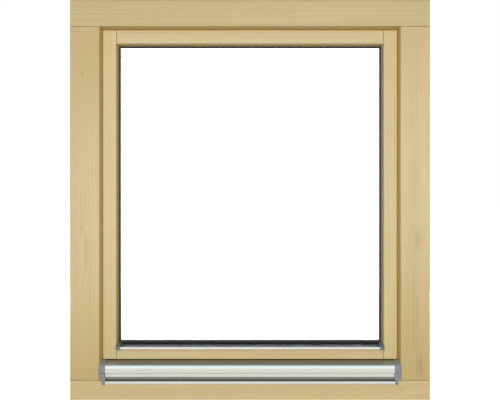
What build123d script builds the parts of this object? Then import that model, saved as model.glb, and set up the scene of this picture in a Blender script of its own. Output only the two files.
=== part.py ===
from build123d import *
import os
from math import radians, tan

# Single-sash wooden window with double glazing, opening inwards, at its real size in millimetres.
# Origin: centre of the frame's bottom face. X runs along the width, Z up, and Y from outside to inside.
# A depth is measured from the frame's outside face, an inset from the frame's outer edge.

# Whole window
frame_width = 880.0
frame_height = 985.0
timber_depth = 68.0  # thickness of every frame and sash member
outer_arris = 1.5
arris = 5.0  # rounding of the outside edges beside the reveals
inner_arris = 3.0
reveal_angle = 15.0
joint_groove = 0.8  # depth of the V along each corner joint

# Frame
frame_face = 77.0  # width of a jamb or the head, seen from outside
frame_lip_depth = 20.0  # the outer lip that the sash closes behind
frame_rebate = 24.0  # how far that lip stands over the core
sill_core_height = 74.0  # bottom rail behind the lip
sill_lip_height = 48.0  # bottom rail at the outside face, under the rain bar
frame_tenon = 10.0  # thickness of each of the two tenons at a frame corner

# Sash
sash_setback = 22.0  # sash face behind the frame's outside face
rebate_air = 12.0  # gap between the sash edge and the frame's core
sash_overlap = 8.0  # how far the sash flange covers the frame's inside face
seal_gap = 2.0  # between that flange and the frame
sash_face = 50.0  # stile or top rail, from its edge to the glass lip
sash_bottom_face = 48.0  # the same of the bottom rail
sash_lip_depth = 16.0
glass_rebate = 18.0
sash_tenon = 8.0
sash_drop_depth = 20.0  # outer part of the bottom rail, cut higher over the rain bar

# Glazing
pane = 4.0
cavity = 16.0
pane_edge_gap = 3.0  # between the pane's edge and the rebate
outer_gasket = 3.0
inner_gasket = 3.0
gasket_show = 5.0  # what shows of the outer gasket beside the lip
inner_gasket_show = 0.5
gasket_rise = 6.0  # what shows of it above the sash drip bar
spacer_inset = 4.0
spacer_height = 7.0
bead_clearance = 0.3

# Weather gasket between frame and sash
weather_gasket_inset = 1.5
weather_gasket_width = 5.5

# Rain bar on the frame's bottom rail: a hollow aluminium extrusion
bar_wall = 1.6
bar_end_inset = 86.0
bar_back_rise = 9.8  # from the nose's top to the bar's back edge
nose_reach = 3.0  # nose in front of the frame's outside face
nose_top = 84.8
nose_bottom = 56.2
nose_radius = 14.0
nose_edge = 0.8  # rounding of its lower edge
nose_return = 2.6  # lower edge of the nose, before the throat
throat_depth = 3.5  # recessed foot under the nose, behind the outside face
throat_rise = 5.0
drip_leg_reach = 4.0
drip_leg_height = 7.0
drip_leg_round = 4.5
drip_leg_bottom = 39.2
nose_groove_height = 65.5
nose_groove_width = 1.4
nose_groove_depth = 0.9
rain_seal_gap = 2.0  # from the bar's top to the sash, closed by a gasket
rain_gasket_width = 3.0
rain_gasket_foot = 6.5
cap_proud = 1.2  # how far an end cap stands out around its bar
cap_cover = 1.0  # how far a rain bar cap laps over the jamb's arris
cap_step = 0.7  # lower half of the cap, set back from the upper
cap_side_step = 1.4
cap_collar = 1.7  # what the lower half laps over the bar's end
cap_collar_lift = 2.0  # and how far above the sill it begins
tab_inset = 78.5
tab_width = 6.2
tab_drop = 2.3

# Drip bar on the sash's bottom rail
drip_plate = 1.5
drip_reach = 10.0  # nose in front of the sash face
drip_droop = 1.2  # extra fall of the plate in front of the sash face
drip_lip = 5.2
drip_nose = 2.6
drip_return = 1.2
drip_end_inset = 120.6
drip_cap_cover = 0.7
drip_cap_tail = 0.9  # below the lip

# Handle on the right stile, seen from outside
handle_height = 500.0
rose_width = 31.0
rose_height = 68.0
rose_depth = 11.0
rose_corner = 9.0
rose_edge = 2.5
neck_diameter = 16.0
neck_length = 40.0
lever_length = 118.0
lever_width = 21.0
lever_thickness = 11.0
lever_bend = 12.0

# Hinges on the left stile
hinge_stand = 12.0  # from the frame's inside face to the hinge's axis
hinge_side_gap = 1.0  # from the knuckle to the sash flange
knuckle_diameter = 14.0
knuckle_round = 1.5
knuckle_height = 30.0
knuckle_gap = 0.3
pin_diameter = 7.0
pin_clearance = 0.15
hinge_plate = 3.0
hinge_plate_width = 24.0
hinge_plate_height = 56.0
hinge_corner = 4.0
strap_width = 34.0
hinge_end_gap = 12.0  # from the sash flange's end to the knuckle

# Worked out from the sizes above
fall = tan(radians(reveal_angle))
half_width = frame_width / 2
outside = -timber_depth / 2
core_inset = frame_face - frame_rebate
lip_front_inset = frame_face - frame_lip_depth * fall
sash_edge = core_inset + rebate_air
flange_edge = core_inset - sash_overlap
flange_depth = timber_depth + seal_gap
sash_back = sash_setback + timber_depth
sight_inset = sash_edge + sash_face
sight_front_inset = sight_inset - sash_lip_depth * fall
rebate_inset = sight_inset - glass_rebate
lip_back = sash_setback + sash_lip_depth
sash_bottom_edge = sill_core_height + rebate_air
flange_bottom = sill_core_height - sash_overlap
sight_bottom = sash_bottom_edge + sash_bottom_face
sight_front_bottom = sight_bottom - sash_lip_depth * fall
rebate_bottom = sight_bottom - glass_rebate
bar_back_top = nose_top + bar_back_rise
handle_inset = (flange_edge + rebate_inset) / 2
hinge_axis_inset = flange_edge - hinge_side_gap - knuckle_diameter / 2
hinge_axis_depth = timber_depth + hinge_stand
sash_drop_bottom = bar_back_top + rain_seal_gap
pane_front = lip_back + outer_gasket
pane_back = pane_front + 2 * pane + cavity
bead_front = pane_back + inner_gasket
margin = 5.0  # how far a cutting solid runs past what it cuts
snap = 0.001


def place(depth):
    """Y of a depth measured from the frame's outside face."""
    return outside + depth


def section(points):
    """Closed face through the points; a third number is that corner's radius."""
    corners = [point[:2] for point in points]
    rounds = [point[2] if len(point) > 2 else 0 for point in points]
    return make_face(FilletPolyline(*corners, radius=rounds, close=True))


def along_width(points, low, high):
    """Prism between two X values, of a section of (depth, height) points."""
    turned = [(place(point[0]), *point[1:]) for point in points]
    return Pos(low, 0, 0) * extrude(Plane.YZ * section(turned), amount=high - low)


def along_height(points, low, high):
    """Prism between two Z values, of a section of (x, depth) points."""
    turned = [(point[0], place(point[1]), *point[2:]) for point in points]
    return Pos(0, 0, low) * extrude(Plane.XY * section(turned), amount=high - low)


def stack(edge, bottom=None):
    """Solid whose section at every depth is a rectangle, so its corners mitre by themselves.

    edge gives (depth, inset) points for both sides and the top, bottom the (depth, height)
    points of the lower side, which is like the others when it is left out. A third number
    rounds the edge there.
    """
    bottom = bottom or edge
    right = [(half_width - point[1], point[0]) for point in edge]
    left = [(-x, depth) for x, depth in reversed(right)]
    top = [(point[0], frame_height - point[1]) for point in edge]
    low = [point[:2] for point in reversed(bottom)]
    sides = along_height(right + left, -margin, frame_height + margin)
    solid = sides & along_width(top + low, -half_width - margin, half_width + margin)
    for point in edge:
        if len(point) > 2:
            x, z = half_width - point[1], frame_height - point[1]
            solid = round_rim(solid, point, lambda spot: near(abs(spot.X), x) or near(spot.Z, z))
    for point in bottom:
        if len(point) > 2 and bottom is not edge:
            z = point[1]
            solid = round_rim(solid, point, lambda spot: near(spot.Z, z))
    return solid


def near(first, second):
    """True when two lengths are the same but for rounding errors."""
    return abs(first - second) < snap


def round_rim(solid, point, on_rim):
    """Fillets the straight edges at a point's depth whose middles are on the rim."""
    depth, _, radius = point

    def chosen(line):
        """True for an edge that stays at the depth and lies on the rim."""
        level = all(near((line @ end).Y, place(depth)) for end in (0, 1))
        return level and on_rim(line @ 0.5)

    return fillet(solid.edges().filter_by(chosen), radius)


def ring(depth, thickness, outer, inner, outer_bottom=None, inner_bottom=None):
    """Rectangular ring of even thickness between two insets."""
    ends = (depth, depth + thickness)
    far = (depth - margin, depth + thickness + margin)
    low = outer if outer_bottom is None else outer_bottom
    lower = inner if inner_bottom is None else inner_bottom
    outside_part = stack([(end, outer) for end in ends], [(end, low) for end in ends])
    hole = stack([(end, inner) for end in far], [(end, lower) for end in far])
    return outside_part - hole


def block(x, depth, z):
    """Box between pairs of x, depth and z values."""
    size = (x[1] - x[0], depth[1] - depth[0], z[1] - z[0])
    centre = ((x[0] + x[1]) / 2, place((depth[0] + depth[1]) / 2), (z[0] + z[1]) / 2)
    return Pos(*centre) * Box(*size)


def both_sides(solid):
    """The solid with its mirror image across the window's middle."""
    return solid + mirror(solid, about=Plane.YZ)


def tenon_layers(front, back, thickness):
    """Depths of two tenons, with three equal cheeks around them."""
    cheek = (back - front - 2 * thickness) / 3
    first = front + cheek
    second = first + thickness + cheek
    return [(first, first + thickness), (second, second + thickness)]


def tenon_zone(layers, inner, heights):
    """The tenons' space at both sides of the window, between two heights."""
    zone = [block((half_width - inner, half_width + margin), layer, heights) for layer in layers]
    return both_sides(zone[0] + zone[1])


def level_groove(depth, height, low, high):
    """V along a level joint line on a face, and its mirror image."""
    deep = joint_groove
    diamond = [
        (depth - deep, height),
        (depth, height + deep),
        (depth + deep, height),
        (depth, height - deep),
    ]
    return both_sides(along_width(diamond, low, high))


def upright_groove(depth, x, low, high):
    """V along an upright joint line on a face, and its mirror image."""
    deep = joint_groove
    diamond = [(x - deep, depth), (x, depth + deep), (x + deep, depth), (x, depth - deep)]
    return both_sides(along_height(diamond, low, high))


def frame_grooves():
    """The V joints of the frame, on its outside and inside faces."""
    reach = half_width + margin
    out_x, in_x = half_width - lip_front_inset, half_width - core_inset
    grooves = level_groove(0, frame_height - lip_front_inset, out_x, reach)
    grooves += level_groove(0, sill_lip_height, out_x, reach)
    grooves += level_groove(timber_depth, frame_height - core_inset, in_x, reach)
    grooves += level_groove(timber_depth, sill_core_height, in_x, reach)
    return grooves


def sash_grooves():
    """The V joints of the sash, on its outside and inside faces."""
    out_x, in_x = half_width - sight_front_inset, half_width - rebate_inset
    high = frame_height
    grooves = upright_groove(sash_setback, out_x, high - sight_front_inset, high)
    grooves += upright_groove(sash_setback, out_x, 0, sight_front_bottom)
    grooves += upright_groove(sash_back, in_x, high - rebate_inset, high)
    grooves += upright_groove(sash_back, in_x, 0, rebate_bottom)
    return grooves


def frame_ring():
    """The four frame members as one solid, with the reveals and their rounded arrises."""
    blank = Pos(0, 0, frame_height / 2) * Box(frame_width, timber_depth, frame_height)
    blank = fillet(blank.edges(), outer_arris)
    back = timber_depth + margin
    edge = [
        (-margin, core_inset),
        (0, core_inset),
        (0, lip_front_inset, arris),
        (frame_lip_depth, frame_face),
        (frame_lip_depth, core_inset),
        (back, core_inset),
    ]
    sill = [
        (-margin, sill_lip_height - margin * fall),
        (frame_lip_depth, sill_lip_height + frame_lip_depth * fall),
        (frame_lip_depth, sill_core_height),
        (back, sill_core_height),
    ]
    return blank - stack(edge, sill) - frame_grooves()


def frame_members():
    """Head and bottom rail run through; the jambs are coped to them and tenoned into them."""
    whole = frame_ring()
    back = timber_depth + margin
    top = frame_height
    head_section = [
        (-margin, top - lip_front_inset + margin * fall),
        (frame_lip_depth, top - frame_face),
        (frame_lip_depth, top - core_inset),
        (back, top - core_inset),
        (back, top + margin),
        (-margin, top + margin),
    ]
    sill_section = [
        (-margin, sill_lip_height - margin * fall),
        (frame_lip_depth, sill_lip_height + frame_lip_depth * fall),
        (frame_lip_depth, sill_core_height),
        (back, sill_core_height),
        (back, -margin),
        (-margin, -margin),
    ]
    reach = half_width + margin
    layers = tenon_layers(frame_lip_depth, timber_depth, frame_tenon)
    head_space = along_width(head_section, -reach, reach)
    head_space -= tenon_zone(layers, core_inset, (top - core_inset, top + margin))
    sill_space = along_width(sill_section, -reach, reach)
    sill_space -= tenon_zone(layers, core_inset, (-margin, sill_core_height))
    left, right = (whole - head_space - sill_space).solids().sort_by(Axis.X)
    return {
        "frame_head": whole & head_space,
        "frame_bottom_rail": whole & sill_space,
        "frame_jamb_left": left,
        "frame_jamb_right": right,
    }


def sash_ring():
    """The four sash members as one solid: flange, glass lip and glass rebate."""
    back = sash_back + margin
    drop_back = sash_setback + sash_drop_depth
    outline = [
        (sash_setback, sash_edge, outer_arris),
        (flange_depth, sash_edge),
        (flange_depth, flange_edge),
        (sash_back, flange_edge, inner_arris),
    ]
    foot = [
        (sash_setback, sash_drop_bottom, outer_arris),
        (drop_back, sash_drop_bottom),
        (drop_back, sash_bottom_edge),
        (flange_depth, sash_bottom_edge),
        (flange_depth, flange_bottom),
        (sash_back, flange_bottom, inner_arris),
    ]
    opening = [
        (sash_setback - margin, rebate_inset),
        (sash_setback, rebate_inset),
        (sash_setback, sight_front_inset, arris),
        (lip_back, sight_inset),
        (lip_back, rebate_inset),
        (back, rebate_inset),
    ]
    opening_foot = [
        (sash_setback - margin, sight_front_bottom - margin * fall),
        (lip_back, sight_bottom),
        (lip_back, rebate_bottom),
        (back, rebate_bottom),
    ]
    return stack(outline, foot) - stack(opening, opening_foot) - sash_grooves()


def sash_members():
    """The stiles run through; the rails are coped to them and tenoned into them."""
    whole = sash_ring()
    front = sash_setback - margin
    back = sash_back + margin
    reach = half_width
    stile_section = [
        (reach - (sight_front_inset - margin * fall), front),
        (reach - sight_inset, lip_back),
        (reach - rebate_inset, lip_back),
        (reach - rebate_inset, back),
        (reach, back),
        (reach, front),
    ]
    layers = tenon_layers(lip_back, flange_depth, sash_tenon)
    top_zone = (frame_height - rebate_inset, frame_height)
    bottom_zone = (0, rebate_bottom)
    space = both_sides(along_height(stile_section, 0, frame_height))
    space -= tenon_zone(layers, rebate_inset, top_zone)
    space -= tenon_zone(layers, rebate_inset, bottom_zone)
    left, right = (whole & space).solids().sort_by(Axis.X)
    bottom, top = (whole - space).solids().sort_by(Axis.Z)
    return {
        "sash_stile_left": left,
        "sash_stile_right": right,
        "sash_bottom_rail": bottom,
        "sash_top_rail": top,
    }


def glazing_beads():
    """Four inside beads, sloped like the outside lip and mitred at the corners."""
    outer = rebate_inset + bead_clearance
    outer_low = rebate_bottom + bead_clearance
    inner_back = sight_inset - (sash_back - bead_front) * fall
    low_back = sight_bottom - (sash_back - bead_front) * fall
    rim = stack(
        [(bead_front, outer), (sash_back, outer)],
        [(bead_front, outer_low), (sash_back, outer_low)],
    )
    hole = stack(
        [
            (bead_front - margin, sight_inset),
            (bead_front, sight_inset),
            (sash_back, inner_back, inner_arris),
            (sash_back, outer + inner_arris),
            (sash_back + margin, outer + inner_arris),
        ],
        [
            (bead_front - margin, sight_bottom),
            (bead_front, sight_bottom),
            (sash_back, low_back, inner_arris),
            (sash_back, outer_low + inner_arris),
            (sash_back + margin, outer_low + inner_arris),
        ],
    )
    whole = rim - hole
    half = half_width - outer
    high = frame_height - outer
    deep = glass_rebate + margin

    def wedge(edge, step):
        """Space of a level bead: it narrows by 45 degrees from the rebate inwards."""
        corners = [(-half, edge), (half, edge), (half - deep, edge + step), (deep - half, edge + step)]
        face = make_face(Polyline(*corners, close=True))
        start = place(bead_front - margin)
        length = sash_back - bead_front + 2 * margin
        return Pos(0, start + length, 0) * extrude(Plane.XZ * face, amount=length)

    top_space = wedge(high, -deep)
    bottom_space = wedge(outer_low, deep)
    left, right = (whole - top_space - bottom_space).solids().sort_by(Axis.X)
    return {
        "glazing_bead_top": whole & top_space,
        "glazing_bead_bottom": whole & bottom_space,
        "glazing_bead_left": left,
        "glazing_bead_right": right,
    }


def glazing():
    """Two panes on a spacer bar, between an outer and an inner gasket."""
    edge = rebate_inset + pane_edge_gap
    low = rebate_bottom + pane_edge_gap
    show = sight_inset + gasket_show
    plate_rise = drip_plate * (1 + fall**2) ** 0.5
    outer_low = sight_bottom + plate_rise + gasket_rise
    second = pane_front + pane + cavity

    def sheet(depth):
        """One pane, with its back a pane's thickness behind the depth."""
        ends = (depth, depth + pane)
        return stack([(end, edge) for end in ends], [(end, low) for end in ends])

    frame_of_spacer = ring(
        pane_front + pane,
        cavity,
        edge + spacer_inset,
        edge + spacer_inset + spacer_height,
        low + spacer_inset,
        low + spacer_inset + spacer_height,
    )
    return {
        "glass_pane_outer": sheet(pane_front),
        "glass_pane_inner": sheet(second),
        "glass_spacer_bar": frame_of_spacer,
        "glazing_gasket_outer": ring(lip_back, outer_gasket, edge, show, low, outer_low),
        "glazing_gasket_inner": ring(
            pane_back,
            inner_gasket,
            edge,
            sight_inset + inner_gasket_show,
            low,
            sight_bottom + inner_gasket_show,
        ),
    }


def weather_gasket():
    """Seal between the frame's inside face and the sash flange."""
    outer = flange_edge + weather_gasket_inset
    low = flange_bottom + weather_gasket_inset
    width = weather_gasket_width
    return ring(timber_depth, seal_gap, outer, outer + width, low, low + width)


def sill_height(depth):
    """Height of the bottom rail's milled slope at a depth."""
    return sill_lip_height + depth * fall


def bar_outline():
    """Outside of the rain bar, from its top back edge over the nose to its seat on the rail."""
    back = frame_lip_depth
    front = -nose_reach
    foot = throat_depth
    return [
        (back, bar_back_top),
        (front, nose_top, nose_radius),
        (front, nose_bottom, nose_edge),
        (front + nose_return, nose_bottom, nose_edge),
        (foot, sill_height(foot) + throat_rise),
        (foot, sill_height(foot)),
        (back, sill_height(back)),
    ]


def drip_leg():
    """Lower leg of the rain bar, out over the rail's front edge and down to a drip."""
    front = -drip_leg_reach
    inner = front + bar_wall
    back = throat_depth + bar_wall
    top = drip_leg_bottom + drip_leg_height
    return [
        (back, sill_height(back)),
        (inner, sill_height(inner), drip_leg_round - bar_wall),
        (inner, drip_leg_bottom),
        (front, drip_leg_bottom),
        (front, top, drip_leg_round),
        (back, sill_height(back) + bar_wall),
    ]


def rain_bar():
    """Hollow extrusion with a falling top, a rounded nose, a groove and a drip leg."""
    low = bar_end_inset - half_width
    outline = bar_outline()
    shell = along_width(outline, low, -low)
    turned = [(place(point[0]), *point[1:]) for point in outline]
    room = offset(section(turned), amount=-bar_wall, kind=Kind.INTERSECTION)
    chamber = Pos(low - margin, 0, 0) * extrude(
        Plane.YZ * room, amount=2 * (margin - low)
    )
    groove_low = nose_groove_height - nose_groove_width / 2
    groove = block(
        (low - margin, margin - low),
        (-nose_reach - margin, nose_groove_depth - nose_reach),
        (groove_low, groove_low + nose_groove_width),
    )
    return shell - chamber - groove + along_width(drip_leg(), low, -low)


def rain_bar_cap(whole_frame):
    """Left end cap of the rain bar: it fills the reveal, laps over the arris and ends in a tab."""
    back = frame_lip_depth
    front = -nose_reach - cap_proud
    step = front + cap_step
    outer = lip_front_inset - cap_cover - half_width
    inner = bar_end_inset - half_width
    upper_section = [
        (back, sill_height(back)),
        (back, bar_back_top + cap_proud),
        (front, nose_top + cap_proud, nose_radius),
        (front, nose_groove_height, cap_step / 2),
        (step, nose_groove_height),
        (step, sill_height(step)),
    ]
    lower_section = [
        (0, sill_height(0)),
        (0, nose_groove_height),
        (step, nose_groove_height),
        (step, sill_height(step)),
    ]
    tab_section = [
        (0, sill_height(0)),
        (-drip_leg_reach - cap_proud, sill_height(0), bar_wall / 2),
        (-drip_leg_reach - cap_proud, drip_leg_bottom - tab_drop),
        (0, drip_leg_bottom - tab_drop),
    ]
    side = block(
        (outer - margin, outer + cap_side_step),
        (front - margin, 0),
        (0, nose_groove_height),
    )
    body = along_width(upper_section, outer, inner)
    body += along_width(lower_section, outer, inner)
    collar = block(
        (inner, inner + cap_collar),
        (step, 0),
        (sill_lip_height + cap_collar_lift, nose_groove_height),
    )
    tab_start = tab_inset - half_width
    tab = along_width(tab_section, tab_start, tab_start + tab_width)
    collar -= along_width(bar_outline(), inner - margin, inner + margin)
    cap = body - side + tab + collar - whole_frame
    return cap.solids().sort_by(SortBy.VOLUME)[-1]


def rain_bar_gasket():
    """Lip seal on the back of the rain bar, under the sash."""
    back = frame_lip_depth
    points = [
        (back, bar_back_top - rain_gasket_foot),
        (back + rain_gasket_width, bar_back_top - rain_gasket_foot),
        (sash_setback + rain_gasket_width, sash_drop_bottom),
        (sash_setback + outer_arris, sash_drop_bottom),
        (back, bar_back_top),
    ]
    end = bar_end_inset - half_width
    return along_width(points, end, -end)


def drip_under(depth):
    """Height of the sash drip bar's underside in front of the sash face."""
    ahead = sash_setback - depth
    return sight_front_bottom - ahead * (fall + drip_droop / drip_reach)


def drip_outline():
    """Sash drip bar: a plate on the rail's slope, a rounded nose and a lip that returns."""
    rise = drip_plate * (1 + fall**2) ** 0.5
    front = sash_setback - drip_reach
    under_front = drip_under(front)
    top_front = under_front + rise
    low = top_front - drip_lip
    return [
        (lip_back, sight_bottom),
        (lip_back, sight_bottom + rise),
        (sash_setback, sight_front_bottom + rise),
        (front, top_front, drip_nose),
        (front, low),
        (front + drip_plate + drip_return, low),
        (front + drip_plate + drip_return, low + drip_plate),
        (front + drip_plate, low + drip_plate),
        (front + drip_plate, drip_under(front + drip_plate)),
        (sash_setback, sight_front_bottom),
    ]


def sash_drip_bar():
    """Small aluminium extrusion that throws water off the glass edge."""
    end = drip_end_inset - half_width
    return along_width(drip_outline(), end, -end)


def sash_drip_cap(whole_sash):
    """Left end cap of the sash drip bar, from the stile's reveal to the bar's end."""
    rise = drip_plate * (1 + fall**2) ** 0.5
    front = sash_setback - drip_reach - cap_proud
    top_front = drip_under(front) + rise + cap_proud
    low = top_front - drip_lip - cap_proud - drip_cap_tail
    points = [
        (lip_back, sight_bottom),
        (lip_back, sight_bottom + rise + cap_proud),
        (sash_setback, sight_front_bottom + rise + cap_proud),
        (front, top_front, drip_nose),
        (front, low),
        (sash_setback, low),
        (sash_setback, sight_front_bottom),
    ]
    outer = sight_front_inset - drip_cap_cover - half_width
    body = along_width(points, outer, drip_end_inset - half_width)
    return (body - whole_sash).solids().sort_by(SortBy.VOLUME)[-1]


def handle_rose():
    """Rose on the right stile's inside face."""
    blank = extrude(RectangleRounded(rose_width, rose_height, rose_corner), amount=rose_depth)
    blank = fillet(blank.faces().sort_by(Axis.Z)[-1].edges(), rose_edge)
    seat = Plane(
        origin=(half_width - handle_inset, place(sash_back), handle_height),
        x_dir=(-1, 0, 0),
        z_dir=(0, 1, 0),
    )
    return seat * blank


def handle_lever():
    """Neck and lever in one casting, turned down as on a closed window."""
    x = half_width - handle_inset
    start = place(sash_back + rose_depth)
    out = start + neck_length
    neck = Plane(origin=(x, start, handle_height), z_dir=(0, 1, 0)) * extrude(
        Circle(neck_diameter / 2), amount=neck_length - lever_bend
    )
    path = FilletPolyline(
        (x, start + neck_length - 2 * lever_bend, handle_height),
        (x, out, handle_height),
        (x, out, handle_height - lever_length),
        radius=[lever_bend],
    )
    face = Plane(
        origin=(x, start + neck_length - 2 * lever_bend, handle_height),
        x_dir=(1, 0, 0),
        z_dir=(0, 1, 0),
    ) * Ellipse(lever_width / 2, lever_thickness / 2)
    grip = sweep(face, path=path)
    return neck + grip


def hinge_part(direction, plate_x, plate_depth, start, height, web):
    """Knuckle, web and rounded plate of one half of a hinge.

    plate_x is the plate's pair of X values and start its height nearest the knuckle's end.
    """
    x, y = hinge_axis_inset - half_width, place(hinge_axis_depth)
    low = min(start, start + direction * knuckle_height)
    knuckle = Cylinder(knuckle_diameter / 2, knuckle_height)
    knuckle = fillet(knuckle.edges(), knuckle_round)
    knuckle = Pos(x, y, low + knuckle_height / 2) * knuckle
    width = plate_x[1] - plate_x[0]
    seat = Plane(
        origin=(sum(plate_x) / 2, place(plate_depth), start + direction * height / 2),
        x_dir=(-1, 0, 0),
        z_dir=(0, 1, 0),
    )
    plate = seat * extrude(RectangleRounded(width, height, hinge_corner), amount=hinge_plate)
    web_x, web_depth = web
    lows = sorted((start + direction * knuckle_round, start + direction * (knuckle_height - knuckle_round)))
    return knuckle + plate + block(web_x, web_depth, lows)


def hinge(end, direction):
    """Frame part and sash part of one hinge; direction is 1 at the bottom and -1 at the top."""
    x, y = hinge_axis_inset - half_width, place(hinge_axis_depth)
    radius = knuckle_diameter / 2
    flange_x = flange_edge - half_width
    middle = end + direction * (hinge_end_gap + knuckle_height)

    def post(start, length, diameter):
        """Upright pin on the hinge's axis, from a height outwards."""
        low = min(start, start + direction * length)
        return Pos(x, y, low + length / 2) * Cylinder(diameter / 2, length)

    frame_part = hinge_part(
        -direction,
        (x + radius - hinge_plate_width, x + radius),
        timber_depth,
        middle,
        hinge_plate_height,
        ((x - radius, x), (timber_depth, hinge_axis_depth)),
    )
    frame_part += post(middle - direction * radius, knuckle_height, pin_diameter)
    start = middle + direction * knuckle_gap
    sash_part = hinge_part(
        direction,
        (flange_x + knuckle_gap, flange_x + strap_width),
        sash_back,
        start,
        knuckle_height,
        ((x, flange_x + hinge_corner), (sash_back, sash_back + hinge_plate)),
    )
    sash_part += block(
        (x, flange_x - knuckle_gap),
        (hinge_axis_depth, sash_back + hinge_plate),
        sorted((start + direction * knuckle_round, start + direction * (knuckle_height - knuckle_round))),
    )
    bore = post(middle - direction * margin, knuckle_height + 2 * margin, pin_diameter + 2 * pin_clearance)
    return frame_part, sash_part - bore


def all_nodes():
    """Every named piece of the window."""
    whole_frame = frame_ring()
    whole_sash = sash_ring()
    rain_cap = rain_bar_cap(whole_frame)
    drip_cap = sash_drip_cap(whole_sash)
    lower_frame_part, lower_sash_part = hinge(flange_bottom, 1)
    upper_frame_part, upper_sash_part = hinge(frame_height - flange_edge, -1)
    nodes = {
        **frame_members(),
        **sash_members(),
        **glazing_beads(),
        **glazing(),
        "sash_weather_gasket": weather_gasket(),
        "rain_bar": rain_bar(),
        "rain_bar_cap_left": rain_cap,
        "rain_bar_cap_right": mirror(rain_cap, about=Plane.YZ),
        "rain_bar_gasket": rain_bar_gasket(),
        "sash_drip_bar": sash_drip_bar(),
        "sash_drip_cap_left": drip_cap,
        "sash_drip_cap_right": mirror(drip_cap, about=Plane.YZ),
        "handle_rose": handle_rose(),
        "handle_lever": handle_lever(),
        "lower_hinge_frame_part": lower_frame_part,
        "lower_hinge_sash_part": lower_sash_part,
        "upper_hinge_frame_part": upper_frame_part,
        "upper_hinge_sash_part": upper_sash_part,
    }
    return nodes


os.makedirs("parts", exist_ok=True)
for name, piece in all_nodes().items():
    export_step(piece, f"parts/{name}.step")
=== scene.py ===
import math

import bpy
import numpy as np
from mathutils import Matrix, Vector


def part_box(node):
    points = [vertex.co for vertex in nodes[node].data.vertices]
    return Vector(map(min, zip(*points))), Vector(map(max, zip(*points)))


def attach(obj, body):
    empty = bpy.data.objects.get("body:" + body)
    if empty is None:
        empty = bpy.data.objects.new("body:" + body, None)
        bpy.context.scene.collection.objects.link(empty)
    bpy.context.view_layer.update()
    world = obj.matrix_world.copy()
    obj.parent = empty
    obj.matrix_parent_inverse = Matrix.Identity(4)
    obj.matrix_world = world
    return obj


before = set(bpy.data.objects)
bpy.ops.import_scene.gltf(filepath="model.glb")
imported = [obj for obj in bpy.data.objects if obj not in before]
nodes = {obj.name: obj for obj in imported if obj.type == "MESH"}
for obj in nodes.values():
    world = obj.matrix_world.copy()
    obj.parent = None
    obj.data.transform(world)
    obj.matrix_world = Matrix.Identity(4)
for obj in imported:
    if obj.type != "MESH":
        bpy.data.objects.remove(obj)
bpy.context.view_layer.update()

# The picture, in pixels and metres
picture_width = 500
picture_middle_row = 200
bottom_row = 400
window_pixels = 360
sensor_width = 36.0
camera_distance = 2.5  # from the frame's outside face

# Lamps and surroundings
ambient_strength = 0.28
key_power = 86.0
key_size = 2.4
key_place = (0.0, -2.9, 0.5)
fill_power = 58.0
fill_place = (0.3, 2.9, 0.9)
lamp_aim = (0.0, 0.0, 0.5)
floor_size = 400.0
floor_colour = (0.82, 0.82, 0.81, 1.0)
floor_lift = 0.75  # what the camera sees on top of the floor's own light
floor_in_metal = 0.44  # the same in metal
sky_tint = (1.12, 1.24, 1.32)  # high in front, in metal
sky_from = 0.20
sky_to = 0.45
sky_in_metal = 1.1
ceiling_from = 0.70
ceiling_dimming = 0.85

# Corner joints of the frame and the sash, from the frame's edges
head_joint_inset = 0.0716
head_back_inset = 0.0530
sill_joint_height = 0.0480
sill_back_height = 0.0740
sash_joint_inset = 0.1107
sash_back_inset = 0.0970
joint_half_width = 0.0006
joint_share = 0.75  # how dark the line is
face_depth = 0.001  # what counts as the outside face

# The brown line of painted shade at the back of the reveals, from the frame's outer edge and outside
# face
shade_line_inset = 0.0690
shade_line_front = 0.0130
shade_line_back = 0.0190
shade_line_blur = 0.0010

# The orange strip of painted shade, warmed by bounced light, along the sash's edge, from the frame's
# outer edge and outside face
sash_edge_inset = 0.0788  # to the strip's inside
sash_edge_depth = 0.0280
edge_blur = 0.0006

# The painted shade in the rain bar's throat and on its lip, from the bar's lowest and foremost points
throat_low = 0.0073
throat_high = 0.0180
throat_back = 0.0022
throat_blur = 0.0008
lip_low = 0.0040
lip_high = 0.0075
lip_shade = 0.70

# The rain bar's groove with its painted shade, and the painted reflections on bright metal, with
# heights from the frame's foot
groove_height = 0.0655
groove_half_width = 0.0010
groove_shade = 0.45
front_reflection_clearance = 0.0030  # over the groove, below which the painted dark reflection doesn't turn lighter
dark_reflection_blur = 0.25
rain_bar_front = (0.0935, 0.0855)  # from the full painted dark reflection to the lighter one
drip_bar_front = (0.1325, 0.1290)

# Small fixings, in metres
screw_radius = 0.0034
screw_rise = 0.0009
screw_recess = 0.0018
plate_thickness = 0.0030
pin_radius = 0.0010
pin_rise = 0.0003
pin_spacing = 0.130
bead_slope = math.tan(math.radians(15.0))
collar_radius = 0.0102
collar_half_width = 0.0013
collar_rise = 0.0014
sunk = 0.0002  # how far a fixing's rim lies under the surface
patch_turn = 0.8  # radians from one fixing to the next
cross_waist = 0.25  # reach of the screws' recess between its arms, as a share
cross_sharpness = 6
cross_slope = 1.6
cross_depth = 0.8  # of the screw's rise

# Where the screws sit in the hinges' plates, from the plates' ends and sides
frame_screw_aside = 0.0120
frame_screw_first = 0.0080
frame_screw_second = 0.0190
strap_screw_aside = 0.0050
strap_screw_along = 0.0450
sash_screw_aside = 0.0075
sash_screw_half_gap = 0.0080
sash_screw_inner = 0.0220

# Grain of the pine: each noise's stretch across, into and along the board, then the rings
warp_stretch = (7.0, 7.0, 0.9)
fibre_stretch = (620.0, 620.0, 7.0)
streak_stretch = (210.0, 210.0, 2.0)
patch_stretch = (22.0, 22.0, 1.6)
strip_stretch = (26.0, 26.0, 0.8)
ring_sway = 0.016
rings_per_metre = 260.0
ring_unevenness = 0.012
ring_end = 0.93  # share of a ring at which its dark wood fades
late_share = 0.34
fibre_share = 0.42
streak_share = 0.20
strip_share = 0.30
base_share = 0.04
late_height = 0.6

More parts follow.
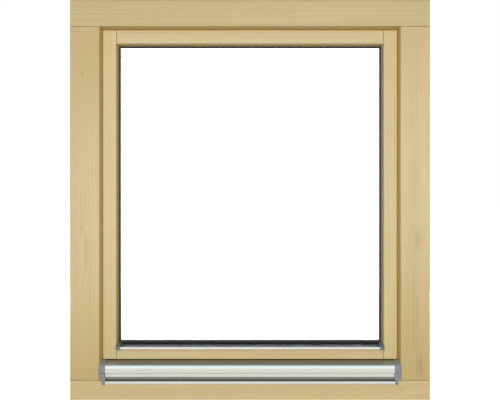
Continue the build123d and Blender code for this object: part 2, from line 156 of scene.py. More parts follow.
# Marks in the pine, in shares of a mark's own size
mark_raggedness = 1.3
mark_outside = 1.1
mark_inside = 0.1
bend_outside = 2.2
bend_inside = 0.4
bend_share = 0.35

# Darker, yellower tone of the jambs and stiles away from a height, and yellower at the foot
tone_near = 0.06  # from the board's lightest part
tone_far = 0.50
foot_top = 0.55  # heights from the frame's foot
foot_bottom = 0.10

# How much of the slopes' tint is thick glaze and painted shade
frame_glaze_and_shade = 0.62
sash_glaze_and_shade = 0.70

# Colours, as linear values
pine_light = (0.660, 0.548, 0.302)
pine_middle = (0.615, 0.500, 0.250)
pine_pink = (0.600, 0.455, 0.255)
glaze_and_shade_brown = (0.405, 0.270, 0.055)
gap_shade_orange = (0.860, 0.660, 0.380)
foot_yellow = (1.000, 0.990, 0.880)
shade_line_brown = (0.340, 0.170, 0.035)
pine_far_tone = (0.490, 0.365, 0.150)
joint_brown = (0.230, 0.130, 0.045)
pine_late = (0.500, 0.372, 0.150)
knot_brown = (0.330, 0.180, 0.075)


def window_size():
    """Lowest and highest corner of the timber frame, in metres."""
    low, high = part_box("frame_jamb_left")[0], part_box("frame_jamb_right")[1]
    return low, high


def add_camera():
    """Camera square on to the outside face, with the picture's own scale."""
    low, high = window_size()
    pixel = (high.x - low.x) / window_pixels
    data = bpy.data.cameras.new("photo_camera")
    data.sensor_width = sensor_width
    data.lens = sensor_width * camera_distance / (picture_width * pixel)
    camera = bpy.data.objects.new("photo_camera", data)
    height = low.z + (bottom_row - picture_middle_row) * pixel
    camera.location = (0, low.y - camera_distance, height)
    camera.rotation_euler = (math.pi / 2, 0, 0)
    bpy.context.scene.collection.objects.link(camera)
    bpy.context.scene.camera = camera


class Tree:
    """Short way to write a node tree: values or sockets go straight into a node's inputs."""

    def __init__(self, owner):
        owner.use_nodes = True
        self.nodes = owner.node_tree.nodes
        self.links = owner.node_tree.links

    def fill(self, socket, value):
        """Links a socket to the input, or sets the input's own value."""
        if isinstance(value, bpy.types.NodeSocket):
            self.links.new(value, socket)
        elif hasattr(socket.default_value, "__len__") and len(socket.default_value) == 4:
            socket.default_value = (*value[:3], 1.0)
        else:
            socket.default_value = value

    def add(self, kind, inputs=None, **settings):
        """A node with its settings, and its inputs by name or number."""
        node = self.nodes.new(kind)
        for name, value in settings.items():
            setattr(node, name, value)
        for key, value in (inputs or {}).items():
            self.fill(node.inputs[key], value)
        return node

    def math(self, operation, first, second=0.0, clamp=False):
        """Result of one sum on two values."""
        node = self.add("ShaderNodeMath", {0: first, 1: second}, operation=operation, use_clamp=clamp)
        return node.outputs[0]

    def mix(self, factor, first, second):
        """Two colours mixed by a factor."""
        node = self.add("ShaderNodeMix", {0: factor}, data_type="RGBA")
        self.fill(node.inputs[6], first)
        self.fill(node.inputs[7], second)
        return node.outputs[2]

    def multiplied(self, first, second):
        """Two colours multiplied."""
        node = self.add("ShaderNodeMix", {0: 1.0}, data_type="RGBA", blend_type="MULTIPLY")
        self.fill(node.inputs[6], first)
        self.fill(node.inputs[7], second)
        return node.outputs[2]

    def spread(self, value, low, high, to_low=0.0, to_high=1.0):
        """Value moved smoothly from one range to another."""
        inputs = {0: value, 1: low, 2: high, 3: to_low, 4: to_high}
        node = self.add("ShaderNodeMapRange", inputs, interpolation_type="SMOOTHSTEP")
        return node.outputs[0]

    def noise(self, vector, scale, detail=2.0, roughness=0.5):
        """Soft noise from 0 to 1 over a vector."""
        inputs = {"Vector": vector, "Scale": scale, "Detail": detail, "Roughness": roughness}
        return self.add("ShaderNodeTexNoise", inputs).outputs[0]

    def placed(self, turn=(0, 0, 0), shift=(0, 0, 0), scale=(1, 1, 1)):
        """Object coordinates turned, shifted and scaled."""
        source = self.add("ShaderNodeTexCoord").outputs["Object"]
        inputs = {"Vector": source, "Location": shift, "Rotation": turn, "Scale": scale}
        return self.add("ShaderNodeMapping", inputs).outputs[0]

    def stretched(self, vector, scale):
        """A vector with each part scaled by itself."""
        node = self.add("ShaderNodeMapping", {"Vector": vector, "Scale": scale})
        return node.outputs[0]

    def parts(self, vector):
        """The three parts of a vector."""
        return self.add("ShaderNodeSeparateXYZ", {0: vector}).outputs

    def facing(self):
        """The three parts of the way the surface faces."""
        return self.parts(self.add("ShaderNodeNewGeometry").outputs["Normal"])


def empty_material(name):
    """A new material with a tree that holds its shader and output alone."""
    material = bpy.data.materials.new(name)
    tree = Tree(material)
    shader = tree.nodes["Principled BSDF"]
    return material, tree, shader


def band(tree, value, centre, half_width):
    """1 where a value is within half a width of a centre, with a soft edge."""
    gap = tree.math("ABSOLUTE", tree.math("SUBTRACT", value, centre))
    return tree.spread(gap, 1.5 * half_width, 0.5 * half_width)


def reveal_shade_line(tree, spot):
    """1 where shade is painted brown at the back of the frame's reveals, in the recess by the sash.
    """
    low, high = window_size()
    inner = high.x - shade_line_inset
    within = tree.spread(tree.math("ABSOLUTE", spot[0]), inner + shade_line_blur, inner)
    under = tree.spread(spot[2], high.z - shade_line_inset + shade_line_blur, high.z - shade_line_inset)
    deep = tree.spread(spot[1], low.y + shade_line_front, low.y + shade_line_back)
    back = low.y + shade_line_back + shade_line_blur
    shallow = tree.spread(spot[1], low.y + shade_line_back + 2 * shade_line_blur, back)
    beside = tree.math("MULTIPLY", within, under)
    return tree.math("MULTIPLY", beside, tree.math("MULTIPLY", deep, shallow))


def joint_lines(tree, spot, name):
    """1 along the corner joints that show on a member's outside and inside faces."""
    low, high = window_size()
    outside = tree.spread(spot[1], face_depth, 0.0)
    inside = tree.math("SUBTRACT", 1.0, outside)
    if "frame" in name:
        levels = ((outside, high.z - head_joint_inset), (outside, low.z + sill_joint_height),
                  (inside, high.z - head_back_inset), (inside, low.z + sill_back_height))
        lines = [tree.math("MULTIPLY", side, band(tree, spot[2], level, joint_half_width))
                 for side, level in levels]
    else:
        across = tree.math("ABSOLUTE", spot[0])
        places = ((outside, high.x - sash_joint_inset), (inside, high.x - sash_back_inset))
        lines = [tree.math("MULTIPLY", side, band(tree, across, place, joint_half_width))
                 for side, place in places]
    total = lines[0]
    for line in lines[1:]:
        total = tree.math("MAXIMUM", total, line)
    flat = tree.spread(tree.math("ABSOLUTE", tree.facing()[1]), 0.5, 0.6)
    return tree.math("MULTIPLY", tree.math("MULTIPLY", total, flat), joint_share)


def sash_gap_shade(tree, spot):
    """1 on the sash's outermost strip that shows from outside, where shade from the gap is painted
    warm orange.
    """
    low, high = window_size()
    aside = high.x - sash_edge_inset
    above = high.z - sash_edge_inset
    sides = tree.spread(tree.math("ABSOLUTE", spot[0]), aside - edge_blur, aside + edge_blur)
    top = tree.spread(spot[2], above - edge_blur, above + edge_blur)
    outside = tree.spread(spot[1], low.y + sash_edge_depth + edge_blur, low.y + sash_edge_depth)
    return tree.math("MULTIPLY", tree.math("MAXIMUM", sides, top), outside)


def slopes(tree):
    """1 on the narrow slopes beside the glass and the sash, where thick glaze and painted shade lie.
    """
    outward = tree.math("MULTIPLY", tree.facing()[1], -1.0)
    turned_out = tree.spread(outward, 0.02, 0.12)
    not_flat = tree.spread(outward, 0.97, 0.45)
    return tree.math("MULTIPLY", turned_out, not_flat)


def ring_distance(tree, place, pith, seed):
    """Distance from the log's pith line, with a slow sway."""
    warp = tree.noise(tree.stretched(place, warp_stretch), 1.0, 3.0, 0.5)
    sway = tree.math("MULTIPLY", tree.math("SUBTRACT", warp, 0.5), ring_sway)
    split = tree.parts(place)
    across = tree.math("SUBTRACT", split[0], pith[0] + seed[0])
    deep = tree.math("SUBTRACT", split[1], pith[1] + seed[1])
    squares = tree.math("ADD", tree.math("POWER", across, 2.0), tree.math("POWER", deep, 2.0))
    return tree.math("ADD", tree.math("SQRT", squares), sway)


def dense_marks(tree, marks, streaks, fibres, radius):
    """How dense the wood is at its marks, or None, and the rings' distance bent round them.

    Each mark is a height, a place across, a half length, a half width and a strength: a soft
    dark patch of dense grain, that turns into a knot as it gets small and strong.
    """
    dense = None
    for height, side, long, wide, strength in marks:
        scale = (1.0 / wide, 0.0, 1.0 / long)
        centre = tuple(part * size for part, size in zip((side, 0.0, height), scale))
        flat = tree.stretched(tree.placed(), scale)
        measure = tree.add("ShaderNodeVectorMath", {0: flat, 1: centre}, operation="DISTANCE")
        gap = measure.outputs["Value"]
        torn = tree.math("SUBTRACT", tree.math("ADD", streaks, fibres), 1.0)
        ragged = tree.math("ADD", gap, tree.math("MULTIPLY", torn, mark_raggedness))
        patch = tree.spread(ragged, mark_outside, mark_inside, 0.0, strength)
        bend = tree.spread(gap, bend_outside, bend_inside, 0.0, min(long, wide) * bend_share)
        radius = tree.math("ADD", radius, bend)
        dense = patch if dense is None else tree.math("MAXIMUM", dense, patch)
    return dense, radius


def late_wood(tree, radius):
    """Rises to 1 through each growth ring and falls off at its end."""
    uneven = tree.noise(tree.add("ShaderNodeCombineXYZ", {0: radius}).outputs[0], 40.0, 1.0)
    moved = tree.math("ADD", radius, tree.math("MULTIPLY", uneven, ring_unevenness))
    ring = tree.math("FRACT", tree.math("MULTIPLY", moved, rings_per_metre))
    return tree.math("MULTIPLY", tree.math("POWER", ring, 3.0), tree.spread(ring, 1.0, ring_end))


def grain_tint(tree, place, late, fibres, streaks, tone, pink):
    """Colour of plain pine with its rings, fibres and pinkish strips."""
    patches = tree.noise(tree.stretched(place, patch_stretch), 1.0, 3.0, 0.55)
    tint = tree.mix(tree.spread(patches, 0.3, 0.75), pine_light, pine_middle)
    strips = tree.noise(tree.stretched(place, strip_stretch), 1.0, 1.0)
    pinkish = tree.math("MULTIPLY", tree.spread(strips, 0.45, 0.7), strip_share + pink)
    tint = tree.mix(pinkish, tint, pine_pink)
    tint = tree.mix(tree.math("MULTIPLY", late, late_share), tint, pine_late)
    lines = tree.spread(streaks, 0.42, 0.68)
    shade = tree.math("MULTIPLY", tree.math("SUBTRACT", fibres, 0.5), fibre_share)
    shade = tree.math("ADD", shade, tree.math("MULTIPLY", lines, streak_share))
    return tree.mix(tree.math("ADD", shade, base_share + tone, clamp=True), tint, pine_late)


def toned_by_height(tree, tint, spot, middle, amount):
    """The tint, darker and yellower away from a height, and yellower again at the window's foot."""
    far = tree.math("ABSOLUTE", tree.math("SUBTRACT", spot[2], middle))
    tint = tree.mix(tree.spread(far, tone_near, tone_far, 0.0, amount), tint, pine_far_tone)
    low_down = tree.spread(spot[2], foot_top, foot_bottom)
    return tree.mix(low_down, tint, tree.multiplied(tint, foot_yellow))


def glazed_and_shaded(tree, tint, spot, name):
    """The tint with thick glaze and painted shade on the slopes, painted shade by the sash, and the
    lines of the corner joints.
    """
    if name.startswith("pine_frame"):
        # thick glaze and painted shade: slopes turned part way outward are browner and darker
        tint = tree.mix(tree.math("MULTIPLY", slopes(tree), frame_glaze_and_shade), tint, glaze_and_shade_brown)
        # painted shade: a brown line at the back of the frame's reveals, in the recess by the sash
        tint = tree.mix(reveal_shade_line(tree, spot), tint, shade_line_brown)
    elif name.startswith("pine_sash"):
        # thick glaze and painted shade on the sash's slopes
        tint = tree.mix(tree.math("MULTIPLY", slopes(tree), sash_glaze_and_shade), tint, glaze_and_shade_brown)
        # painted shade, warmed orange as by light bounced in the gap, along the sash's edge
        tint = tree.mix(sash_gap_shade(tree, spot), tint, tree.multiplied(tint, gap_shade_orange))
    if not name.startswith("pine_glazing"):
        tint = tree.mix(joint_lines(tree, spot, name), tint, joint_brown)
    return tint


def pine(name, along, pith, seed, marks=(), tone=0.0, pink=0.0, gain=(1.0, 1.0, 1.0), height_tone=None):
    """Clear-glazed pine sawn from one log.

    The growth rings are the distance from a pith line that runs beside the member, warped by
    stretched noise, so long faces show straight grain and cut ends show arcs. height_tone is the
    height of the board's lightest part, and how strongly its ends turn darker and yellower.
    """
    material, tree, shader = empty_material(name)
    turn = (0, math.pi / 2, 0) if along == "x" else (0, 0, 0)
    place = tree.placed(turn=turn, shift=seed)
    spot = tree.parts(tree.placed())
    fibres = tree.noise(tree.stretched(place, fibre_stretch), 1.0, 2.0, 0.6)
    streaks = tree.noise(tree.stretched(place, streak_stretch), 1.0, 2.0, 0.6)
    radius = ring_distance(tree, place, pith, seed)
    dense, radius = dense_marks(tree, marks, streaks, fibres, radius)
    late = late_wood(tree, radius)
    tint = grain_tint(tree, place, late, fibres, streaks, tone, pink)
    if height_tone:
        tint = toned_by_height(tree, tint, spot, *height_tone)
    if dense is not None:
        tint = tree.mix(dense, tint, knot_brown)
    tint = glazed_and_shaded(tree, tree.multiplied(tint, gain), spot, name)
    tree.fill(shader.inputs["Base Color"], tint)
    rough = tree.math("ADD", tree.math("MULTIPLY", fibres, 0.12), 0.38)
    tree.fill(shader.inputs["Roughness"], rough)
    height = tree.math("ADD", tree.math("MULTIPLY", late, late_height), fibres)
    bump = tree.add("ShaderNodeBump", {"Height": height, "Strength": 0.12, "Distance": 0.0004})
    tree.fill(shader.inputs["Normal"], bump.outputs[0])
    return material


def throat_painted_shade(tree, spot):
    """1 where shade is painted into the throat between the rain bar's nose and its drip leg, less on
    its lip.
    """
    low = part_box("rain_bar")[0]
    under_nose = tree.spread(spot[2], low.z + throat_high, low.z + throat_high - throat_blur)
    over_leg = tree.spread(spot[2], low.z + throat_low - throat_blur, low.z + throat_low)
    behind = tree.spread(spot[1], low.y + throat_back - throat_blur, low.y + throat_back)
    throat = tree.math("MULTIPLY", tree.math("MULTIPLY", under_nose, over_leg), behind)
    lip = tree.spread(spot[2], low.z + lip_low, low.z + lip_high, 0.0, lip_shade)
    below = tree.math("LESS_THAN", spot[2], low.z + throat_high - 3 * throat_blur)
    return tree.math("MAXIMUM", throat, tree.math("MULTIPLY", lip, below))


def silver_extrusion(name, colour, dark_reflection_colour, dark_reflection_from, front_reflection_colour, front_heights):
    """Natural anodised aluminium with fine drawing lines.

    A dark reflection is painted where it faces up, and shade is painted in the throat under the
    rain bar's nose and in its groove. Towards the front, between two heights, the painted dark
    reflection turns to a lighter one.
    """
    material, tree, shader = empty_material(name)
    place = tree.placed()
    lines = tree.noise(tree.stretched(place, (0.6, 2500.0, 2500.0)), 1.0, 2.0, 0.6)
    shine = tree.mix(tree.spread(lines, 0.3, 0.7), colour, [c * 0.97 for c in colour])
    # painted reflection: faces turned up get a dull dark colour
    painted_dark = tree.spread(tree.facing()[2], dark_reflection_from, dark_reflection_from + dark_reflection_blur)
    spot = tree.parts(place)
    # painted shade in the throat under the nose and on the lip
    painted_dark = tree.math("MAXIMUM", painted_dark, throat_painted_shade(tree, spot))
    # painted shade: a dark line in the rain bar's groove
    line = band(tree, spot[2], groove_height, groove_half_width)
    groove = tree.math("MULTIPLY", line, groove_shade)
    painted_dark = tree.math("MAXIMUM", painted_dark, groove)
    front = tree.spread(spot[2], *front_heights)
    above = tree.math("GREATER_THAN", spot[2], groove_height + front_reflection_clearance)
    # towards the front the painted dark reflection turns to a lighter painted one
    reflection_tint = tree.mix(tree.math("MULTIPLY", front, above), dark_reflection_colour, front_reflection_colour)
    tree.fill(shader.inputs["Base Color"], tree.mix(painted_dark, shine, reflection_tint))
    shader.inputs["Metallic"].default_value = 1.0
    rough = tree.math("ADD", tree.math("MULTIPLY", lines, 0.05), 0.22)
    tree.fill(shader.inputs["Roughness"], tree.math("ADD", rough, tree.math("MULTIPLY", painted_dark, 0.12)))
    return material


def moulded_plastic(name, colour, rough, step_shade_height=None):
    """Moulded plastic with a faint spark-eroded texture, and a dark line of painted shade at a given
    height.
    """
    material, tree, shader = empty_material(name)
    place = tree.placed()
    grain = tree.noise(place, 1500.0, 2.0, 0.6)
    cloud = tree.noise(place, 60.0, 2.0)
    tint = tree.mix(cloud, colour, [c * 0.85 for c in colour])
    if step_shade_height is not None:
        # painted shade: a dark line where the cap steps back, level with the rain bar's groove
        line = tree.math("MULTIPLY", band(tree, tree.parts(place)[2], step_shade_height, 0.0009), 0.6)
        tint = tree.mix(line, tint, [c * 0.2 for c in colour])
    tree.fill(shader.inputs["Base Color"], tint)
    tree.fill(shader.inputs["Roughness"], tree.math("ADD", tree.math("MULTIPLY", grain, 0.2), rough))
    bump = tree.add("ShaderNodeBump", {"Height": grain, "Strength": 0.15, "Distance": 0.0002})
    tree.fill(shader.inputs["Normal"], bump.outputs[0])
    return material


def satin_metal(name, colour, rough):
    """Satin metal with a faint uneven polish."""
    material, tree, shader = empty_material(name)
    place = tree.placed()
    cloud = tree.noise(tree.stretched(place, (300.0, 300.0, 40.0)), 1.0, 3.0, 0.6)
    tree.fill(shader.inputs["Base Color"], tree.mix(cloud, colour, [c * 0.9 for c in colour]))
    shader.inputs["Metallic"].default_value = 1.0
    tree.fill(shader.inputs["Roughness"], tree.math("ADD", tree.math("MULTIPLY", cloud, 0.12), rough))
    return material


def clear_glass(name):
    """Float glass that lets lamp and bounced light straight through."""
    material, tree, shader = empty_material(name)
    shader.inputs["Base Color"].default_value = (1.0, 1.0, 1.0, 1.0)
    shader.inputs["Transmission Weight"].default_value = 1.0
    shader.inputs["Roughness"].default_value = 0.0
    shader.inputs["IOR"].default_value = 1.5
    path = tree.add("ShaderNodeLightPath").outputs
    through = tree.math("MAXIMUM", path["Is Shadow Ray"], path["Is Diffuse Ray"])
    clear = tree.add("ShaderNodeBsdfTransparent", {"Color": (0.96, 0.975, 0.97)})
    both = tree.add("ShaderNodeMixShader", {0: through, 1: shader.outputs[0], 2: clear.outputs[0]})
    tree.links.new(both.outputs[0], tree.nodes["Material Output"].inputs["Surface"])
    return material


def show_to_eye(tree):
    """Two masks: what the camera sees directly or through glass, and what it sees in metal."""
    path = tree.add("ShaderNodeLightPath").outputs
    straight = tree.math("MAXIMUM", path["Is Camera Ray"], path["Is Transmission Ray"])
    shiny = tree.math("MULTIPLY", path["Is Glossy Ray"], tree.math("SUBTRACT", 1.0, straight))
    return straight, shiny


def add_world():
    """White surroundings for the eye, dimmer and bluish overhead in metal, and soft light."""
    world = bpy.data.worlds.new("studio")
    bpy.context.scene.world = world
    tree = Tree(world)
    straight, shiny = show_to_eye(tree)
    direction = tree.add("ShaderNodeTexCoord").outputs["Generated"]
    upward = tree.parts(direction)[2]
    ceiling = tree.spread(upward, ceiling_from, 1.0, 0.0, ceiling_dimming)
    dim = tree.math("SUBTRACT", sky_in_metal, ceiling)
    seen = tree.math("ADD", straight, shiny)
    eye = tree.math("ADD", straight, tree.math("MULTIPLY", shiny, dim))
    soft = tree.math("MULTIPLY", tree.math("SUBTRACT", 1.0, seen), ambient_strength)
    background = tree.nodes["Background"]
    high = tree.math("MULTIPLY", shiny, tree.spread(upward, sky_from, sky_to))
    tree.fill(background.inputs["Color"], tree.mix(high, (1.0, 1.0, 1.0), sky_tint))
    tree.fill(background.inputs["Strength"], tree.math("ADD", eye, soft))


def add_floor():
    """Plain pale floor under the frame, whose brightness lifts to white for the eye."""
    half = floor_size / 2
    corners = [(-half, -half, 0), (half, -half, 0), (half, half, 0), (-half, half, 0)]
    mesh = bpy.data.meshes.new("floor")
    mesh.from_pydata(corners, [], [(0, 1, 2, 3)])
    floor = bpy.data.objects.new("floor", mesh)
    bpy.context.scene.collection.objects.link(floor)
    material, tree, shader = empty_material("pale_floor")
    shader.inputs["Base Color"].default_value = floor_colour
    shader.inputs["Roughness"].default_value = 0.9
    straight, shiny = show_to_eye(tree)
    shader.inputs["Emission Color"].default_value = (1.0, 1.0, 1.0, 1.0)
    lift = tree.math("ADD", tree.math("MULTIPLY", straight, floor_lift),
                     tree.math("MULTIPLY", shiny, floor_in_metal))
    tree.fill(shader.inputs["Emission Strength"], lift)
    mesh.materials.append(material)


def add_lamp(name, place, power):
    """Large soft lamp that is aimed at the window and doesn't show in metal."""
    data = bpy.data.lights.new(name, "AREA")
    data.energy = power
    data.size = key_size
    lamp = bpy.data.objects.new(name, data)
    lamp.visible_glossy = False
    lamp.location = place
    aim = Vector(lamp_aim) - lamp.location
    lamp.rotation_euler = aim.to_track_quat("-Z", "Y").to_euler()
    bpy.context.scene.collection.objects.link(lamp)


def polar_grid(radius, rings, spokes):
    """Radius and angle of each point of a round patch, and the faces between the points.

    The points are one centre and then ring after ring, each ring with the same spokes.
    """
    shares = np.arange(1, rings + 1) / rings
    radii = np.concatenate(([0.0], np.repeat(radius * shares, spokes)))
    angles = np.concatenate(([0.0], np.tile(np.arange(spokes) * 2 * np.pi / spokes, rings)))
    turn = np.arange(spokes)
    following = (turn + 1) % spokes
    faces = [(0, 1 + a, 1 + b) for a, b in zip(turn.tolist(), following.tolist())]
    for ring in range(rings - 1):
        inner, outer = 1 + ring * spokes, 1 + (ring + 1) * spokes
        faces += [(inner + a, outer + a, outer + b, inner + b)
                  for a, b in zip(turn.tolist(), following.tolist())]
    return radii, angles, faces


def round_patches(name, grid, heights, places, material):
    """Copies of one round patch in one piece, each set on a surface at its own place.

    A place is a centre and the way the surface faces. A point lies at centre + u r cos a +
    v r sin a + n h, where u and v are level with the surface and n faces out of it.
    """
    radii, angles, faces = grid
    points, polygons = [], []
    for number, (centre, facing) in enumerate(places):
        out = np.array(facing) / np.linalg.norm(facing)
        level = np.cross(out, (0.0, 0.0, 1.0) if abs(out[2]) < 0.9 else (1.0, 0.0, 0.0))
        level /= np.linalg.norm(level)
        aside = np.cross(out, level)
        turned = angles + number * patch_turn
        points.append(np.array(centre) + np.outer(radii * np.cos(turned), level)
                      + np.outer(radii * np.sin(turned), aside) + np.outer(heights, out))
        first = number * len(radii)
        polygons += [tuple(first + corner for corner in face) for face in faces]
    mesh = bpy.data.meshes.new(name)
    mesh.from_pydata(np.concatenate(points).tolist(), [], polygons)
    mesh.polygons.foreach_set("use_smooth", np.ones(len(polygons), dtype=bool))
    mesh.materials.append(material)
    piece = bpy.data.objects.new(name, mesh)
    bpy.context.scene.collection.objects.link(piece)
    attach(piece, "root")
    return piece


def add_hinge_screws(material):
    """Raised cross-head screws that hold the hinges to the frame and the sash.

    Height over the plate: rise (1 - (r / R)^3) less a cross recess, which is deepest in the
    middle and along the two arms |cos 2a| = 1, and closes towards its end.
    """
    grid = polar_grid(screw_radius, rings=12, spokes=48)
    radii, angles = grid[:2]
    dome = screw_rise * (1 - (radii / screw_radius) ** 3) - sunk
    arms = np.abs(np.cos(2 * angles)) ** cross_sharpness
    reach = screw_recess * (cross_waist + (1 - cross_waist) * arms)
    recess = np.clip(cross_slope - cross_slope * radii / reach, 0, 1)
    heights = dome - cross_depth * screw_rise * recess
    places = []
    for end, sign in (("lower", 1), ("upper", -1)):
        low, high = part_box(end + "_hinge_frame_part")
        far = low.z if sign == 1 else high.z
        face = low.y + plate_thickness
        places += [((low.x + frame_screw_aside, face, far + sign * frame_screw_first), (0, 1, 0)),
                   ((low.x + frame_screw_aside, face, far + sign * frame_screw_second), (0, 1, 0)),
                   ((low.x + strap_screw_aside, face, far + sign * strap_screw_along), (0, 1, 0))]
        low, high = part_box(end + "_hinge_sash_part")
        middle = (low.z + high.z) / 2
        outer = high.x - sash_screw_aside
        places += [((outer, high.y, middle - sash_screw_half_gap), (0, 1, 0)),
                   ((outer, high.y, middle + sash_screw_half_gap), (0, 1, 0)),
                   ((high.x - sash_screw_inner, high.y, middle), (0, 1, 0))]
    round_patches("hinge_screws", grid, heights, places, material)


def add_bead_pins(material):
    """Small pins in the sloped faces of the glazing beads; height is rise (1 - (r / R)^2)."""
    grid = polar_grid(pin_radius, rings=3, spokes=12)
    heights = pin_rise * (1 - (grid[0] / pin_radius) ** 2) - sunk / 4
    places = []
    low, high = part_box("glazing_bead_left")
    depth = (low.y + high.y) / 2
    middle_z = (low.z + high.z) / 2
    side = high.x
    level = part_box("glazing_bead_bottom")[1].z
    shift = (depth - low.y) * bead_slope
    half_height = high.z - middle_z - 2 * (high.x - low.x)
    half_length = abs(side) - 2 * (high.x - low.x)
    for height in np.linspace(-half_height, half_height, 1 + round(2 * half_height / pin_spacing)):
        places += [((side - shift, depth, middle_z + height), (1, bead_slope, 0)),
                   ((shift - side, depth, middle_z + height), (-1, bead_slope, 0))]
    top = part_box("glazing_bead_top")[0].z
    for along in np.linspace(-half_length, half_length, 1 + round(2 * half_length / pin_spacing)):
        places += [((along, depth, level - shift), (0, bead_slope, 1)),
                   ((along, depth, top + shift), (0, bead_slope, -1))]
    round_patches("bead_pins", grid, heights, places, material)


def add_handle_collar(material):
    """Rounded ring where the handle's neck enters the rose.

    Height is rise sqrt(1 - ((r - middle) / half width)^2) over the ring, and sunk elsewhere.
    """
    grid = polar_grid(collar_radius, rings=48, spokes=64)
    across = (grid[0] - (collar_radius - collar_half_width)) / collar_half_width
    heights = collar_rise * np.sqrt(np.clip(1 - across ** 2, 0, 1)) - sunk
    rose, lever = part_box("handle_rose"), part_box("handle_lever")
    centre = ((rose[0].x + rose[1].x) / 2, rose[1].y, (rose[0].z + rose[1].z) / 2)
    round_patches("handle_collar", grid, heights, [(centre, (0, 1, 0))], material)


def finish_node(name, material):
    """Gives a CAD node its finish."""
    slots = nodes[name].data.materials
    if not len(slots):
        slots.append(material)
    for index in range(len(slots)):
        slots[index] = material


def finish_timber():
    """One board of pine for each member of the frame, the sash and the beads.

    The marks stand about where the photographed window has its knots and streaks. The gains
    and the height tones fit each member's tone.
    """
    jamb = (1.04, 1.04, 1.12)
    stile = (1.07, 1.08, 1.16)
    head = (0.87, 0.87, 0.86)
    top = (0.96, 0.97, 1.03)
    bottom = (1.03, 1.02, 0.98)
    left_marks = (
        (0.797, -0.410, 0.006, 0.0035, 0.5),
        (0.423, -0.412, 0.011, 0.0015, 0.6),
        (0.360, -0.398, 0.050, 0.012, 0.18),
        (0.250, -0.392, 0.110, 0.003, 0.20),
        (0.640, -0.404, 0.090, 0.002, 0.14),
    )
    right_marks = (
        (0.762, 0.419, 0.020, 0.0025, 0.20),
        (0.770, 0.414, 0.014, 0.0015, 0.18),
        (0.392, 0.412, 0.036, 0.018, 0.22),
        (0.210, 0.400, 0.150, 0.0030, 0.18),
        (0.180, 0.408, 0.120, 0.0025, 0.26),
        (0.082, 0.4165, 0.046, 0.0042, 0.72),
        (0.088, 0.4090, 0.044, 0.0034, 0.46),
        (0.070, 0.4225, 0.030, 0.0024, 0.40),
    )
    bottom_marks = ((0.026, 0.369, 0.008, 0.012, 0.16),)
    head_marks = ((0.914, 0.215, 0.0020, 0.012, 0.40), (0.9800, 0.0, 0.0080, 3.00, 0.34))
    boards = {
        "frame_head": dict(along="x", pith=(0.9, 0.10), seed=(1.3, 0.2, 0.4),
                           marks=head_marks, tone=0.02, gain=head),
        "frame_bottom_rail": dict(along="x", pith=(-0.15, 0.09), seed=(2.1, 0.7, 3.1),
                                  marks=bottom_marks, tone=0.02, gain=bottom),
        "frame_jamb_left": dict(along="z", pith=(-0.33, 0.13), seed=(0.2, 1.7, 2.4),
                                marks=left_marks, pink=0.5, gain=jamb, height_tone=(0.44, 0.85)),
        "frame_jamb_right": dict(along="z", pith=(0.50, 0.12), seed=(3.2, 0.9, 1.1),
                                 marks=right_marks, pink=0.1, gain=jamb, height_tone=(0.54, 0.70)),
        "sash_top_rail": dict(along="x", pith=(0.95, 0.08), seed=(0.6, 2.5, 1.9), pink=0.1, gain=top),
        "sash_bottom_rail": dict(along="x", pith=(0.02, 0.10), seed=(1.9, 1.4, 0.7),
                                 tone=0.02, pink=0.1, gain=bottom),
        "sash_stile_left": dict(along="z", pith=(-0.28, 0.10), seed=(4.1, 0.3, 2.2),
                                gain=stile, height_tone=(0.50, 0.25)),
        "sash_stile_right": dict(along="z", pith=(0.42, 0.11), seed=(0.8, 3.3, 1.5),
                                 gain=stile, height_tone=(0.50, 0.25)),
        "glazing_bead_top": dict(along="x", pith=(0.93, 0.12), seed=(2.9, 1.1, 0.3)),
        "glazing_bead_bottom": dict(along="x", pith=(0.05, 0.12), seed=(1.1, 2.2, 2.8)),
        "glazing_bead_left": dict(along="z", pith=(-0.25, 0.12), seed=(2.4, 0.5, 0.9)),
        "glazing_bead_right": dict(along="z", pith=(0.40, 0.12), seed=(0.4, 1.6, 3.0)),
    }
    for name, board in boards.items():
        finish_node(name, pine("pine_" + name, **board))


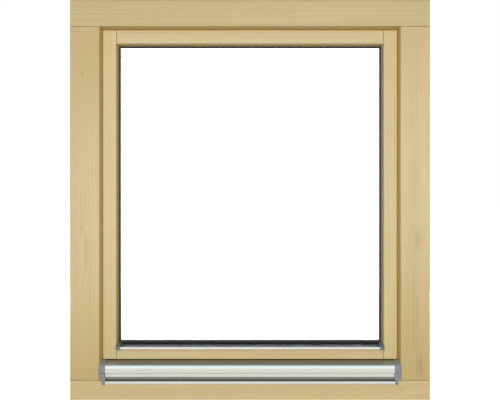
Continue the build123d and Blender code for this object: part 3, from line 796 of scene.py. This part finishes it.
def finish_rest():
    """Metal, plastic, rubber and glass. Returns the handle's metal, which its collar shares."""
    # the second colour is a painted dark reflection and shade, the third a painted bluish sky
    # reflection near the front
    silver = silver_extrusion("silver_extrusion", (0.74, 0.73, 0.69), (0.30, 0.29, 0.27), 0.64,
                              (0.46, 0.54, 0.66), rain_bar_front)
    # the drip bar's upward faces get a nearly black painted reflection, lighter near the front
    drip = silver_extrusion("silver_drip_bar", (0.76, 0.75, 0.71), (0.04, 0.038, 0.033), 0.55,
                            (0.16, 0.17, 0.18), drip_bar_front)
    spacer = satin_metal("spacer_metal", (0.45, 0.46, 0.48), 0.35)
    seal = moulded_plastic("black_seal", (0.018, 0.021, 0.024), 0.45)
    # the grey caps carry the painted shade line at the groove's height
    grey = moulded_plastic("grey_cap", (0.268, 0.284, 0.300), 0.4, groove_height)
    dark = moulded_plastic("dark_cap", (0.170, 0.184, 0.212), 0.35)
    handle = satin_metal("handle_metal", (0.72, 0.72, 0.71), 0.28)
    steel = satin_metal("hinge_steel", (0.62, 0.62, 0.62), 0.3)
    glass = clear_glass("clear_glass")
    by_name = {
        "rain_bar": silver, "sash_drip_bar": drip, "glass_spacer_bar": spacer,
        "rain_bar_gasket": seal, "glazing_gasket_outer": seal, "glazing_gasket_inner": seal,
        "sash_weather_gasket": seal, "rain_bar_cap_left": grey, "rain_bar_cap_right": grey,
        "sash_drip_cap_left": dark, "sash_drip_cap_right": dark, "handle_rose": handle,
        "handle_lever": handle, "glass_pane_outer": glass, "glass_pane_inner": glass,
    }
    for name, material in by_name.items():
        finish_node(name, material)
    for name in nodes:
        if "hinge" in name:
            finish_node(name, steel)
    return handle


bpy.context.scene.view_settings.view_transform = "Standard"
add_camera()
add_world()
add_floor()
add_lamp("key_lamp", key_place, key_power)
add_lamp("fill_lamp", fill_place, fill_power)
finish_timber()
handle_metal = finish_rest()
add_hinge_screws(satin_metal("screw_zinc", (0.52, 0.52, 0.51), 0.25))
add_bead_pins(satin_metal("pin_steel", (0.30, 0.29, 0.27), 0.4))
add_handle_collar(handle_metal)
